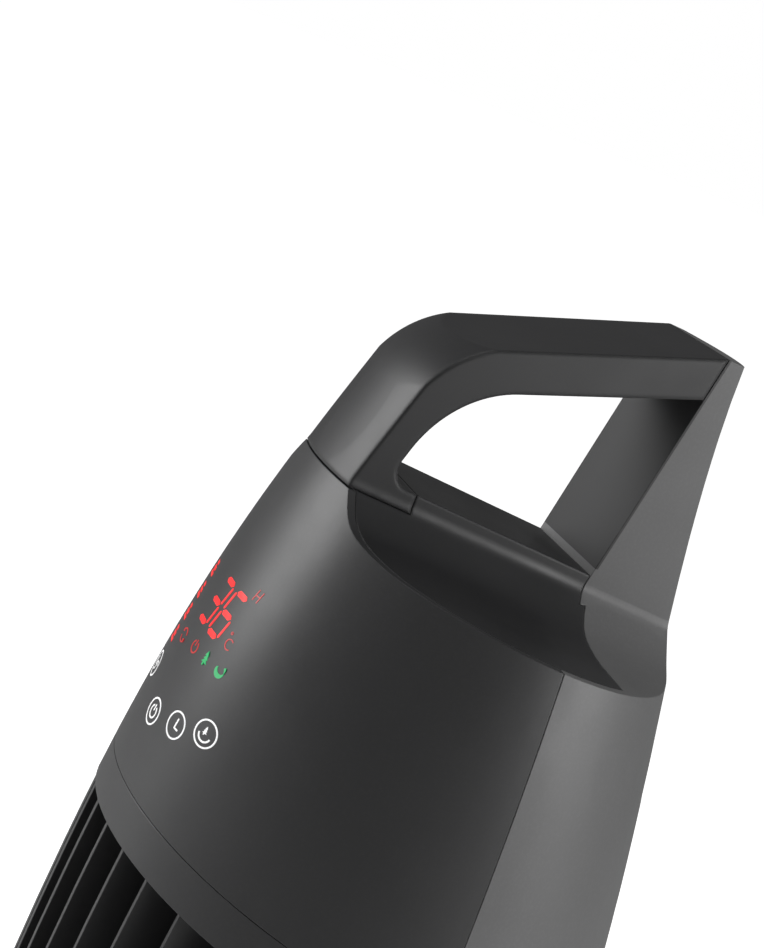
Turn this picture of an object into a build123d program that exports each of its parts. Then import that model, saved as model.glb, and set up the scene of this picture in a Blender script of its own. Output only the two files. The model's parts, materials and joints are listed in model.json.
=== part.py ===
"""Tower fan: a tapered tower with a carrying handle that swings on a round base.

The tower's seam between front and rear housings lies in the plane y = 0, the air leaves towards -Y, and the
origin is the centre of the base on the floor.
"""
from build123d import *
import os
from math import atan, cos, degrees, exp, log, pi, radians, sin, sqrt, tan

# ---------------------------------------------------------------- driving dimensions, mm
HANDLE_TOP = 900.0          # height of the strap where it meets the rear column
WALL = 2.6                  # moulded housing walls
GAP = 0.3                   # air gap at a seam between two mouldings
RUN = 0.05                  # radial clearance of a running fit

# Tower outline: reach from the seam plane at the handle top, full reach lower down, and how it fills out
FRONT = {"top": 48.6, "full": 101.5, "fade": 126.0, "power": 1.3}
REAR = {"top": 56.0, "full": 126.0, "fade": 207.0, "power": 1.75}
SIDE = {"top": 44.0, "full": 92.5, "fade": 139.5, "power": 1.1}
FOOT_TAPER = 4.0            # the outline draws in by this much at the foot
FOOT_TAPER_DEPTH = 780.0
OUTLINE_TOP = -22.0         # depth of the first section, above the handle
OUTLINE_STEPS = 20
TOWER_FOOT = 38.0           # height of the tower's lower rim above the floor

# Handle, seen from the side. Slopes are rise per mm towards the rear.
PANEL_Y = 44.0              # front face of the rear column, at the handle top
PANEL_LEAN = 9.7            # degrees that this face leans back
NOTCH_DEPTH = 91.0          # below this the seam beside the column steps to the rear
NOTCH_STEP = 2.4
STRAP_HALF_WIDTH = 19.0
STRAP_TOP_SLOPE = 0.249
STRAP_FRONT_Y = -61.5       # front of the strap, 45 mm below the handle top
STRAP_FRONT_DEPTH = 45.0
STRAP_LEAN = 17.0           # degrees that the strap's front leans back
STRAP_BEND = 36.0           # outer bend radius of the strap
BEND_FRONT_R = 60.6         # the bend's radii about the tower's axis, low at the front and high at the top
BEND_TOP_R = 38.0
BEND_TOP_DEPTH = 18.7
BEND_TOP_SLOPE = 0.30
BEND_REAR_Y = -15.0
GAP_BEND = 38.0             # inner bend radius
COLUMN_TOP_SLOPE = -0.08
UNDERSIDE_DROP = 14.2       # strap thickness, measured straight down
INNER_FRONT_Y = -51.8       # inner face of the strap's front leg, 61 mm below the handle top
INNER_FRONT_DEPTH = 61.2
DECK_DEPTH = 76.9           # saddle under the hand, at y = 0
DECK_SLOPE = -0.158
SADDLE_STEP = 6.4           # the strap's foot stands this far below the saddle
FOOT_BACK_Y = -42.1         # rear end of the strap's foot

GRIP_HALF_WIDTH = 12.0      # soft band inside the strap
GRIP_LOW = 844.0
GRIP_REAR_Y = 18.0

# Seams between the control cap and the grille frame
CAP_SEAM_DEPTH = 190.5      # at the front of the tower
GRILLE_TOP_DEPTH = 205.5
SEAM_SLOPE = -0.268
SEAM_FRONT_Y = -92.0

# Air outlet and intake
GRILLE_BOTTOM = 128.0
GRILLE_HALF_WIDTH = 73.0
FIN_COUNT = 10
FIN_PITCH = 13.1
FIN_THICK = 1.6
FIN_DEPTH = 20.0
FIN_RECESS = 0.5
FIN_STEPS = 8
RIB_COUNT = 4
END_RIB_SETBACK = 5.5       # from the fins' front edges
RAIL = 5.0                  # how far the fins run on behind the frame
INTAKE_LOW = 150.0
INTAKE_HIGH = 640.0
INTAKE_HALF_WIDTH = 62.0
SLOT_ROWS = 40
SLAT_HEIGHT = 6.0
SLAT_RECESS = 0.4
SLOT_BAR = 5.0              # width of the upright bar in the middle
SLOT_MARGIN = 6.0

# Air duct and impeller
DUCT_LOW = 118.0
DUCT_HIGH = 672.0
DUCT_WALL = 2.2
DUCT_MOUTH = 68.0
DUCT_MOUTH_Y = -40.0
CEILING_FRONT_Y = 0.0
ROOF_REAR_Y = 6.0
ROTOR_Y = 22.0
ROTOR_R = 47.0
ROTOR_LOW = 126.0
ROTOR_HIGH = 666.0
ROTOR_SECTIONS = 5
DISC_THICK = 2.0
BLADES = 28
BLADE_CHORD = 14.0
BLADE_CURVE_R = 13.0
BLADE_HALF_ARC = 32.0
BLADE_THICK = 1.3
BLADE_SETTING = 62.0
HUB_R = 9.0
TONGUE_GAP = 3.0
SCROLL_START_R = 52.0
SCROLL_END_R = 78.0
SCROLL_START = 100.0
SCROLL_END = 205.0

# Fan motor
MOTOR_R = 36.0
MOTOR_LOW = 66.0
MOTOR_HIGH = 108.0
MOTOR_BOSS_R = 12.0
MOTOR_SHAFT_R = 4.0
TOP_PIN_R = 3.0
BEARING_R = 10.0
ISOLATOR_RING_R = 48.0
ISOLATOR_NECK_R = 4.5

# Electronics
DISPLAY_DEPTH = 127.0
KEY_DEPTH = 166.0
KEY_PITCH = 13.5
KEY_BOARD_INSET = 14.5
KEY_SPRING_R = 3.0
KEY_SMILE = 0.0125          # the row of keys rises by this times the square of the distance from its middle
BOARD_Y = -52.0
BOARD_Z = 84.0
BOARD_THICK = 1.6

# Turning foot
SPINDLE_R = 20.0
SPINDLE_TOP = 56.0
FLOOR_LOW = 41.0
FLOOR_THICK = 3.0
HUB_HEIGHT = 12.0
GEAR_MODULE = 1.5
PRESSURE_ANGLE = 20.0
GEAR_TEETH = 60
PINION_TEETH = 12
GEAR_BACKLASH = 0.12
FLANK_STEPS = 5
GEAR_LOW = 31.2
GEAR_HEIGHT = 6.5
GEAR_SCREW_R = 28.0
GEAR_SCREWS = 4
MOUNT_SCREW = 1.4
MOTOR_BEARING = 90.0        # direction from the spindle to the turning motor, degrees from +X
TURN_MOTOR_R = 20.0
PINION_SHAFT_R = 2.5

# Base
BASE_R = 150.0
RIM_LOW = 3.0
EDGE_TOP = 16.0
DOME_RUN = 34.0
COVER_TOP = 30.0
COVER_WALL = 2.6
PLATE_LOW = 3.0
PLATE_TOP = 6.0
FEET = 6
FOOT_R = 11.0
FOOT_RING_R = 130.0
BASE_SCREW_R = 118.0
BALLAST_R = 110.0
BALLAST_HOLE_R = 80.0
BALLAST_THICK = 5.0
CORD_GLAND_R = 4.2
GLAND_Z = 13.2

# Screws between the housings
HOUSING_SCREW_INSET = 3.2   # from the wall's inner face
HOUSING_SCREW_Z = [100.0, 330.0, 560.0]
HOUSING_SCREW_R = 1.6
HOUSING_HEAD_Y = 8.0
STRAP_SCREW_X = 9.0
STRAP_SCREW_Y = -54.0


def at_depth(depth):
    """Height of a level that lies this far below the handle top."""
    return HANDLE_TOP - depth


# ---------------------------------------------------------------- shared volumes
def reach(shape, depth):
    """Distance from the seam plane or the middle plane to the outer surface."""
    depth_below = max(depth, 0.0)
    grown = 1 - exp(-((depth_below / shape["fade"]) ** shape["power"]))
    taper = max(depth - FOOT_TAPER_DEPTH, 0.0) / (HANDLE_TOP - TOWER_FOOT - FOOT_TAPER_DEPTH)
    return shape["top"] + (shape["full"] - shape["top"]) * grown - FOOT_TAPER * taper**2


def tower_section(depth, inset):
    """Egg-shaped slice: one half-ellipse to the front and one to the rear."""
    half = reach(SIDE, depth) - inset
    front_arc = EllipticalCenterArc((0, 0), half, reach(FRONT, depth) - inset, start_angle=180, arc_size=180)
    rear_arc = EllipticalCenterArc((0, 0), half, reach(REAR, depth) - inset, start_angle=0, arc_size=180)
    return Pos(0, 0, at_depth(depth)) * make_face(front_arc + rear_arc)


def tower_volume(inset):
    """The tower's outer form, or the same form inset from its surface."""
    step = (HANDLE_TOP - TOWER_FOOT - OUTLINE_TOP) / OUTLINE_STEPS
    return loft([tower_section(OUTLINE_TOP + step * i, inset) for i in range(OUTLINE_STEPS + 1)])


FAR = 200.0                 # beyond every surface, for cutting volumes


def side_prism(outline, half_width=FAR):
    """A closed outline of (y, z) points, extruded across the tower."""
    face = make_face(Polyline(*outline, close=True))
    return extrude(Plane.YZ * face, half_width, both=True)


def below_plane(y, z, slope):
    """Everything below a plane that passes (y, z) and rises by slope towards the rear."""
    return side_prism([(-FAR, -FAR), (FAR, -FAR), (FAR, z + slope * (FAR - y)), (-FAR, z - slope * (FAR + y))])


def behind_panel(offset=0.0):
    """Everything behind the front face of the rear column."""
    lean = tan(radians(PANEL_LEAN))
    y = PANEL_Y + offset
    high, notch, low = at_depth(-60), at_depth(NOTCH_DEPTH), at_depth(DECK_DEPTH + 60)
    step_y = y + lean * (notch - HANDLE_TOP)
    return side_prism([(y + lean * (high - HANDLE_TOP), high), (step_y, notch), (step_y + NOTCH_STEP, notch),
                       (y + NOTCH_STEP + lean * (low - HANDLE_TOP), low), (FAR, low), (FAR, high)])


def strap_bend(inset):
    """Round bend between the strap's front and its top, turned about the tower's axis like the front itself."""
    lean, slope = tan(radians(STRAP_LEAN)), BEND_TOP_SLOPE
    low, high = at_depth(STRAP_FRONT_DEPTH), at_depth(BEND_TOP_DEPTH) - inset * sqrt(1 + slope**2)
    front_r = BEND_FRONT_R - inset / cos(radians(STRAP_LEAN))
    # where the leaning front meets the shallow top
    corner_r = (front_r - lean * (high + slope * BEND_TOP_R - low)) / (1 - lean * slope)
    corner = (corner_r, high + slope * (BEND_TOP_R - corner_r))
    foot = (front_r + lean * low, 0)
    face = make_face(Polyline((0, 0), foot, corner, (0, high + slope * BEND_TOP_R), close=True))
    face = fillet(face.vertices().sort_by_distance((*corner, 0))[0], STRAP_BEND - inset)
    return revolve(Plane.XZ * face, Axis.Z) + slab(-FAR, HANDLE_TOP + FAR, y_from=BEND_REAR_Y)


def strap_outline(inset=0.0):
    """Side view of the handle's outside: front leg, bend, top bar and column top."""
    lean = tan(radians(STRAP_LEAN))
    bottom = at_depth(100)
    front_y = STRAP_FRONT_Y + inset / cos(radians(STRAP_LEAN))
    front_z = at_depth(STRAP_FRONT_DEPTH)
    top_z = at_depth(inset * sqrt(1 + STRAP_TOP_SLOPE**2))
    low = (front_y - lean * (front_z - bottom), bottom)
    # where the front leg's line meets the top bar's line
    corner_y = front_y + lean * (top_z - STRAP_TOP_SLOPE * (PANEL_Y - front_y) - front_z) / (
        1 - lean * STRAP_TOP_SLOPE)
    corner = (corner_y, top_z - STRAP_TOP_SLOPE * (PANEL_Y - corner_y))
    chord = (PANEL_Y, top_z)
    rear = (FAR, top_z + COLUMN_TOP_SLOPE * (FAR - PANEL_Y))
    side_view = side_prism([(-FAR, -FAR), (-FAR, bottom), low, corner, chord, rear, (FAR, -FAR)])
    return side_view & strap_bend(inset)


def handle_gap(grow=0.0):
    """The opening that the hand goes through, or the same opening grown on every side."""
    lean = tan(radians(STRAP_LEAN))
    panel_lean = tan(radians(PANEL_LEAN))
    deck = at_depth(DECK_DEPTH) - grow
    under = at_depth(UNDERSIDE_DROP) + grow
    front_y, front_z = INNER_FRONT_Y - grow, at_depth(INNER_FRONT_DEPTH)

    def cross(y0, z0, run, slope, level):
        """Point where y = y0 + run (z - z0) meets z = level + slope (y - ref)."""
        ref, base = level
        z = (base + slope * (y0 - run * z0 - ref)) / (1 - slope * run)
        return (y0 + run * (z - z0), z)

    bottom_front = cross(front_y, front_z, lean, DECK_SLOPE, (0.0, deck))
    top_front = cross(front_y, front_z, lean, STRAP_TOP_SLOPE, (PANEL_Y, under))
    panel = (PANEL_Y + grow, HANDLE_TOP, panel_lean)
    bottom_rear = cross(*panel, DECK_SLOPE, (0.0, deck))
    top_rear = cross(*panel, STRAP_TOP_SLOPE, (PANEL_Y, under))
    face = make_face(Polyline(bottom_front, bottom_rear, top_rear, top_front, close=True))
    foot = face.vertices().sort_by_distance((*bottom_front, 0))[0]
    face = fillet(foot, 7 + grow)
    bend = face.vertices().sort_by_distance((*top_front, 0))[0]
    return extrude(Plane.YZ * fillet(bend, GAP_BEND + grow), FAR, both=True)


def saddle_zone(shrink=0.0):
    """Everything that lies under the strap's foot and under the hand."""
    foot_y = FOOT_BACK_Y + shrink
    middle = at_depth(50)
    under_hand = side_prism([(foot_y, -FAR), (FAR, -FAR), (FAR, middle), (foot_y, middle)])
    return below_plane(0, at_depth(DECK_DEPTH) - SADDLE_STEP - shrink, DECK_SLOPE) + under_hand


def saddle_profile(inset=0.0):
    """Cross-section of everything above the rim: a narrow upright that flares out into a shelf."""
    half = STRAP_HALF_WIDTH - inset
    flare = Spline([(half, -3.0), (half + 2.2, -8.0 - 0.3 * inset), (half + 10.0, -15.6 - 0.8 * inset),
                    (half + 21.0, -18.8 - inset), (half + 41.0, -20.0 - inset)],
                   tangents=[(0, -1), (1, -0.03)])
    shelf = Polyline((half + 41.0, -20.0 - inset), (FAR, -23.0 - inset), (FAR, -HANDLE_TOP), (0, -HANDLE_TOP),
                     (0, 120.0), (half, 120.0), (half, -3.0))
    right = make_face(flare + shelf)
    return right + mirror(right, Plane.YZ)


def saddle_volume(inset=0.0):
    """The saddle profile carried along the slope of the saddle, from the front to the rear."""
    run = Plane(origin=(0, 0, at_depth(DECK_DEPTH)), x_dir=(1, 0, 0), z_dir=(0, -1, -DECK_SLOPE))
    return extrude(run * saddle_profile(inset), 2 * FAR, both=True)


def slab(low, high, half_width=FAR, y_from=-FAR, y_to=FAR):
    """Box between two heights, centred across the tower."""
    return Pos(0, (y_from + y_to) / 2, (low + high) / 2) * Box(2 * half_width, y_to - y_from, high - low)


def tube(outer_r, inner_r, low, high, x=0.0, y=0.0):
    """Upright tube or, with no inner radius, an upright rod."""
    height = high - low
    body = Cylinder(outer_r, height)
    if inner_r:
        body -= Cylinder(inner_r, height)
    return Pos(x, y, (low + high) / 2) * body


def around(radius, count, start=0.0):
    """Evenly spaced points on a circle about the tower's axis."""
    return [(radius * cos(start + 2 * pi * i / count), radius * sin(start + 2 * pi * i / count))
            for i in range(count)]


def screw(x, y, head_z, length, pointing=1, size=1.6):
    """Pan-head screw with a cross recess; pointing is +1 upwards and -1 downwards."""
    head = Cylinder(2.1 * size, 1.3 * size, align=(Align.CENTER, Align.CENTER, Align.MAX))
    recess = Box(2.4 * size, 0.5 * size, 1.0 * size) + Box(0.5 * size, 2.4 * size, 1.0 * size)
    head -= Pos(0, 0, -1.3 * size) * recess
    shank = Cylinder(size, length, align=(Align.CENTER, Align.CENTER, Align.MIN))
    whole = head + shank
    if pointing < 0:
        whole = Rot(180, 0, 0) * whole
    return Pos(x, y, head_z) * whole


# ---------------------------------------------------------------- tower housings
outer = tower_volume(0)
core = tower_volume(WALL)
fitted = tower_volume(WALL + GAP)
gap = handle_gap()
form = (outer & strap_outline() & saddle_volume()) - gap
front_half = slab(TOWER_FOOT, HANDLE_TOP + 50, y_to=-GAP / 2)
rear_half = slab(TOWER_FOOT, HANDLE_TOP + 50, y_from=GAP / 2)


def below_seam(depth):
    """Everything below a level parallel to the seam under the control cap."""
    return below_plane(SEAM_FRONT_Y, at_depth(depth), SEAM_SLOPE)


def handle_strap():
    """Hollow strap: front leg, bend and top bar, with a pocket for the grip along its inside."""
    whole = form - saddle_zone(-GAP) - behind_panel(-GAP)
    hollow = core & strap_outline(WALL) & slab(0, HANDLE_TOP + 50, STRAP_HALF_WIDTH - WALL)
    hollow = hollow - handle_gap(2 * WALL) - saddle_zone(-WALL) - behind_panel(-WALL)
    pocket = (handle_gap(WALL) - gap) & slab(GRIP_LOW, HANDLE_TOP, GRIP_HALF_WIDTH + GAP,
                                             y_to=GRIP_REAR_Y + GAP)
    return whole - hollow - pocket


def handle_grip():
    """Soft band set into the inside of the strap."""
    band = handle_gap(WALL - GAP) - gap
    return band & slab(GRIP_LOW + GAP, HANDLE_TOP, GRIP_HALF_WIDTH, y_to=GRIP_REAR_Y)


def control_cap():
    """Front shell above the grille: carries the display window and the touch keys on its inside."""
    under_strap = below_plane(0, at_depth(DECK_DEPTH) - SADDLE_STEP - GAP, DECK_SLOPE)
    shell = (form & front_half & under_strap) - core - below_seam(CAP_SEAM_DEPTH)
    return shell


def saddle_cover():
    """Skin under the hand, between the front cap and the rear column."""
    under = saddle_volume(WALL) & below_plane(0, at_depth(DECK_DEPTH) - WALL, DECK_SLOPE) & saddle_zone(WALL)
    skin = (form & saddle_zone() & fitted) - behind_panel(-GAP) - under
    return skin


def grille_window(clearance=0.0):
    """The air outlet's outline, carried straight through the front."""
    below_top = below_plane(SEAM_FRONT_Y, at_depth(GRILLE_TOP_DEPTH) - clearance, SEAM_SLOPE)
    return slab(GRILLE_BOTTOM + clearance, HANDLE_TOP, GRILLE_HALF_WIDTH - clearance, y_to=-10) & below_top


def grille_frame():
    """Front shell below the cap, with the tall outlet window."""
    shell = (outer & front_half & below_seam(CAP_SEAM_DEPTH + GAP)) - core
    return shell - grille_window()


def front_y(x, depth, inset):
    """Where the front surface, or a surface inset from it, lies at a distance x from the middle."""
    return -(reach(FRONT, depth) - inset) * sqrt(1 - (x / (reach(SIDE, depth) - inset)) ** 2)


def fin(x):
    """One upright fin: its front edge follows the tower's front, its ends run on behind the frame."""
    edge_x = abs(x) + FIN_THICK / 2
    low = GRILLE_BOTTOM + GAP
    top_y = front_y(edge_x, GRILLE_TOP_DEPTH, 0)
    high = at_depth(GRILLE_TOP_DEPTH) + SEAM_SLOPE * (top_y - SEAM_FRONT_Y) - 2 * GAP
    levels = [low + (high - low) * i / FIN_STEPS for i in range(FIN_STEPS + 1)]
    front = [(front_y(edge_x, HANDLE_TOP - z, FIN_RECESS), z) for z in levels]
    rear = [(y + FIN_DEPTH, z) for y, z in reversed(front)]
    foot_y = front_y(edge_x, HANDLE_TOP - low, WALL + 2 * GAP)
    tip_y = front_y(edge_x, HANDLE_TOP - high - RAIL, WALL + 2 * GAP)
    edges = Spline(front) + Spline(rear)
    edges += Polyline(front[-1], (tip_y, high), (tip_y, high + RAIL), (rear[0][0], high + RAIL), rear[0])
    edges += Polyline(rear[-1], (rear[-1][0], low - RAIL), (foot_y, low - RAIL), (foot_y, low), front[0])
    blade = extrude(Plane.YZ * make_face(edges), FIN_THICK / 2, both=True)
    return Pos(x, 0, 0) * blade & below_seam(GRILLE_TOP_DEPTH - RAIL)


def cross_rib(z, setback, height=FIN_THICK):
    """Level rib across all fins, curved like the front."""
    half = (FIN_COUNT - 1) / 2 * FIN_PITCH + FIN_THICK / 2
    section = tower_section(HANDLE_TOP - z, FIN_RECESS)
    band = Pos(0, setback, 0) * section - Pos(0, FIN_DEPTH - 3, 0) * section
    band &= Pos(0, -FAR / 2 - 12, z) * Rectangle(2 * half, FAR)
    return extrude(band, height)


def outlet_fins():
    """One-piece grille: upright fins that follow the front's curve, tied by ribs set well back."""
    fins = [fin((i - (FIN_COUNT - 1) / 2) * FIN_PITCH) for i in range(FIN_COUNT)]
    top = at_depth(GRILLE_TOP_DEPTH)
    ribs = [cross_rib(GRILLE_BOTTOM - RAIL, END_RIB_SETBACK)]
    for i in range(1, RIB_COUNT + 1):
        z = GRILLE_BOTTOM + i * (top - GRILLE_BOTTOM) / (RIB_COUNT + 1)
        ribs.append(cross_rib(z, FIN_DEPTH / 2))
    tilted = cross_rib(top - 3 * RAIL, END_RIB_SETBACK, 6 * RAIL) & below_seam(GRILLE_TOP_DEPTH - RAIL + 1)
    ribs.append(tilted - below_seam(GRILLE_TOP_DEPTH - RAIL + 1 + FIN_THICK))
    return fins[0].fuse(*fins[1:], *ribs)


def intake_window(clearance=0.0):
    return slab(INTAKE_LOW + clearance, INTAKE_HIGH - clearance, INTAKE_HALF_WIDTH - clearance, y_from=20)


def rear_housing():
    """Rear shell with the upright column that carries the strap's rear end."""
    column_room = core & saddle_volume(WALL) & strap_outline(WALL) & behind_panel(WALL)
    shell = (form & rear_half) - (core - behind_panel()) - column_room
    return shell - intake_window()


def intake_grille():
    """Panel of level slots that fills the rear window."""
    half = INTAKE_HALF_WIDTH - GAP
    opening = half - SLOT_MARGIN - SLOT_BAR / 2
    low, high = INTAKE_LOW + GAP, INTAKE_HIGH - GAP
    frame = intake_window(GAP)
    for side in (-1, 1):
        x = side * (opening + SLOT_BAR) / 2
        frame -= Pos(x, FAR / 2, (low + high) / 2) * Box(opening, FAR, high - low - 2 * SLOT_MARGIN)
    frame = (outer & frame) - core
    pitch = (high - low - 2 * SLOT_MARGIN) / SLOT_ROWS
    slats = []
    for i in range(1, SLOT_ROWS):
        z = low + SLOT_MARGIN + i * pitch - SLAT_HEIGHT / 2
        depth = HANDLE_TOP - z
        band = tower_section(depth, SLAT_RECESS) - tower_section(depth, WALL - SLAT_RECESS)
        band &= Pos(0, FAR / 2 + 20, z) * Rectangle(2 * half - SLOT_MARGIN, FAR)
        slats.append(extrude(band, SLAT_HEIGHT))
    return frame.fuse(*slats)


def tower_floor():
    """Closes the foot of the tower, and turns on the base's spindle."""
    plate = fitted & slab(FLOOR_LOW, FLOOR_LOW + FLOOR_THICK)
    hub = tube(SPINDLE_R + 4, 0, FLOOR_LOW, FLOOR_LOW + HUB_HEIGHT)
    bore = tube(SPINDLE_R + RUN, 0, 0, 100)
    holes = [tube(MOUNT_SCREW + 0.2, 0, 0, 100, x, y) for x, y in around(GEAR_SCREW_R, GEAR_SCREWS, pi / 4)]
    return (plate + hub) - bore - holes


# ---------------------------------------------------------------- air path
def duct_floor():
    """Level wall under the impeller; the fan motor hangs from it."""
    plate = fitted & slab(DUCT_LOW, DUCT_LOW + DUCT_WALL)
    plate -= tube(MOTOR_BOSS_R + 1, 0, 0, HANDLE_TOP, 0, ROTOR_Y)
    for x, y in around(ISOLATOR_RING_R, 4, pi / 4):
        plate -= tube(ISOLATOR_NECK_R, 0, 0, HANDLE_TOP, x, y + ROTOR_Y)
    return plate


def duct_ceiling():
    """Level wall above the impeller; it holds the upper bearing."""
    plate = fitted & slab(DUCT_HIGH, DUCT_HIGH + DUCT_WALL, y_from=CEILING_FRONT_Y)
    return plate - tube(BEARING_R + GAP, 0, 0, HANDLE_TOP, 0, ROTOR_Y)


def outlet_roof():
    """Sloping wall from the ceiling down to the top edge of the grille."""
    level = DUCT_HIGH + DUCT_WALL + 0.1
    top = below_plane(SEAM_FRONT_Y, at_depth(GRILLE_TOP_DEPTH) + RAIL + 3, SEAM_SLOPE)
    roof = top - below_plane(SEAM_FRONT_Y, at_depth(GRILLE_TOP_DEPTH) + RAIL + 1, SEAM_SLOPE)
    return roof & fitted & slab(level, HANDLE_TOP, y_to=ROOF_REAR_Y)


def duct_side(face):
    """Side wall of the duct, from its floor up to the ceiling and the sloping roof."""
    wall = extrude(Pos(0, 0, DUCT_LOW + DUCT_WALL) * face, HANDLE_TOP)
    wall &= below_plane(SEAM_FRONT_Y, at_depth(GRILLE_TOP_DEPTH) + RAIL + 0.9, SEAM_SLOPE)
    return wall - slab(DUCT_HIGH - 0.05, HANDLE_TOP, y_from=CEILING_FRONT_Y - 0.5)


def scroll_wall():
    """Spiral wall that gathers the air on one side of the impeller and leads it to the grille."""
    start, end, steps = radians(SCROLL_START), radians(SCROLL_END), 8
    growth = log(SCROLL_END_R / SCROLL_START_R) / (end - start)

    def spiral(extra):
        points = []
        for i in range(steps + 1):
            angle = start + (end - start) * i / steps
            r = SCROLL_START_R * exp(growth * (angle - start)) + extra
            points.append((r * cos(angle), ROTOR_Y + r * sin(angle)))
        return points

    inside, outside = spiral(0), spiral(DUCT_WALL)
    lip_in, lip_out = (-DUCT_MOUTH + DUCT_WALL, DUCT_MOUTH_Y), (-DUCT_MOUTH, DUCT_MOUTH_Y)
    edges = Spline(inside) + Polyline(inside[-1], lip_in, lip_out, outside[-1])
    edges += Spline(outside[::-1]) + Line(outside[0], inside[0])
    return duct_side(make_face(edges))


def vortex_tongue():
    """Wall on the other side; its rounded nose stands close to the impeller."""
    nose_x = ROTOR_R + TONGUE_GAP
    outline = make_face(Polyline((nose_x, ROTOR_Y + 6), (nose_x + 5, ROTOR_Y + 6), (DUCT_MOUTH, DUCT_MOUTH_Y),
                                 (DUCT_MOUTH - DUCT_WALL, DUCT_MOUTH_Y), (nose_x, ROTOR_Y - 8), close=True))
    rear = outline.vertices().sort_by(Axis.Y)[-2:]
    outline = fillet(rear, 2.2)
    return duct_side(outline)


def impeller():
    """Cross-flow impeller: curved blades between stacked discs, with a hub at each end."""
    mean_r = ROTOR_R - BLADE_CHORD / 2
    blade_face = blade_section()
    low, high = ROTOR_LOW + DISC_THICK / 2, ROTOR_HIGH - DISC_THICK / 2
    blades = []
    for i in range(BLADES):
        seat = Rot(0, 0, 360 * i / BLADES) * Pos(mean_r, 0, 0) * Rot(0, 0, BLADE_SETTING)
        blades.append(extrude(seat * Pos(-BLADE_CURVE_R, 0, low) * blade_face, high - low))
    pitch = (ROTOR_HIGH - ROTOR_LOW - DISC_THICK) / ROTOR_SECTIONS
    discs = []
    for i in range(ROTOR_SECTIONS + 1):
        z = ROTOR_LOW + i * pitch
        hole = 0 if i in (0, ROTOR_SECTIONS) else ROTOR_R - BLADE_CHORD - 4
        discs.append(tube(ROTOR_R, hole, z, z + DISC_THICK))
    hub = tube(HUB_R, 0, ROTOR_LOW, ROTOR_LOW + 16)
    top_hub = tube(HUB_R, 0, ROTOR_HIGH - 16, ROTOR_HIGH)
    wheel = discs[0].fuse(*discs[1:], *blades, hub, top_hub)
    wheel -= tube(MOTOR_SHAFT_R, 0, ROTOR_LOW - 1, ROTOR_LOW + 12)
    wheel -= tube(TOP_PIN_R, 0, ROTOR_HIGH - 12, ROTOR_HIGH + 1)
    return Pos(0, ROTOR_Y, 0) * wheel


def blade_section():
    """Curved strip between two concentric arcs."""
    span = radians(BLADE_HALF_ARC)
    outer_r = BLADE_CURVE_R + BLADE_THICK
    edges = CenterArc((0, 0), BLADE_CURVE_R, -BLADE_HALF_ARC, 2 * BLADE_HALF_ARC)
    edges += CenterArc((0, 0), outer_r, -BLADE_HALF_ARC, 2 * BLADE_HALF_ARC)
    for angle in (-span, span):
        edges += Line((BLADE_CURVE_R * cos(angle), BLADE_CURVE_R * sin(angle)),
                      (outer_r * cos(angle), outer_r * sin(angle)))
    return make_face(edges)


def motor_shaft():
    return tube(MOTOR_SHAFT_R, 0, MOTOR_LOW - 4, ROTOR_LOW + 12, 0, ROTOR_Y)


def top_pin():
    return tube(TOP_PIN_R, 0, ROTOR_HIGH - 12, DUCT_HIGH + 12, 0, ROTOR_Y)


def top_bearing():
    """Self-centring bush for the impeller's upper pin."""
    bush = tube(BEARING_R - 3, TOP_PIN_R + RUN, DUCT_HIGH - 2, DUCT_HIGH + 8, 0, ROTOR_Y)
    return bush


def bearing_mount():
    """Rubber ring that holds the bush in the ceiling."""
    ring = tube(BEARING_R, BEARING_R - 3, DUCT_HIGH - 1, DUCT_HIGH + 7, 0, ROTOR_Y)
    return ring


def fan_motor():
    """Motor can with a flange and a boss at its shaft end."""
    can = tube(MOTOR_R, 0, MOTOR_LOW, MOTOR_HIGH)
    can = fillet(can.edges().filter_by(GeomType.CIRCLE), 3)
    flange = tube(MOTOR_R + 7, 0, MOTOR_HIGH - 12, MOTOR_HIGH - 9)
    boss = tube(MOTOR_BOSS_R, 0, MOTOR_HIGH - 1, DUCT_LOW + 1)
    motor = can + flange + boss - tube(MOTOR_SHAFT_R + RUN, 0, 0, HANDLE_TOP)
    return Pos(0, ROTOR_Y, 0) * motor


def motor_bracket():
    """Pressed plate between the motor's can and the rubber isolators."""
    plate = tube(ISOLATOR_RING_R + 7, MOTOR_R + 0.1, MOTOR_HIGH - 8.8, MOTOR_HIGH - 6.8)
    for x, y in around(ISOLATOR_RING_R, 4, pi / 4):
        plate -= tube(2.0, 0, 0, HANDLE_TOP, x, y)
    return Pos(0, ROTOR_Y, 0) * plate


def motor_isolators():
    """Rubber bushes between the bracket and the duct floor."""
    bushes = []
    for x, y in around(ISOLATOR_RING_R, 4, pi / 4):
        body = tube(ISOLATOR_NECK_R + 2, 0, MOTOR_HIGH - 6.8, DUCT_LOW, x, y)
        neck = tube(ISOLATOR_NECK_R, 0, DUCT_LOW - 1, DUCT_LOW + DUCT_WALL, x, y)
        bushes.append(Pos(0, ROTOR_Y, 0) * (body + neck - tube(1.8, 0, 0, HANDLE_TOP, x, y)))
    return Compound(bushes)


def motor_screws():
    screws = [screw(x, y + ROTOR_Y, MOTOR_HIGH - 8.8, 22, 1) for x, y in around(ISOLATOR_RING_R, 4, pi / 4)]
    return Compound(screws)


# ---------------------------------------------------------------- electronics
def on_front(x, depth, inset, shape):
    """Sets a shape drawn flat, facing -Y, behind the front surface and leaning with it."""
    slope = (reach(FRONT, depth + 10) - reach(FRONT, depth - 10)) / 20
    y = -(reach(FRONT, depth) - inset)
    return Pos(x, y, at_depth(depth)) * Rot(-degrees(atan(slope)), 0, 0) * shape


def display_module():
    """Two-digit light module that shines through the cap's wall."""
    return on_front(0, DISPLAY_DEPTH, 8.5, Box(38, 5, 24))


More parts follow.
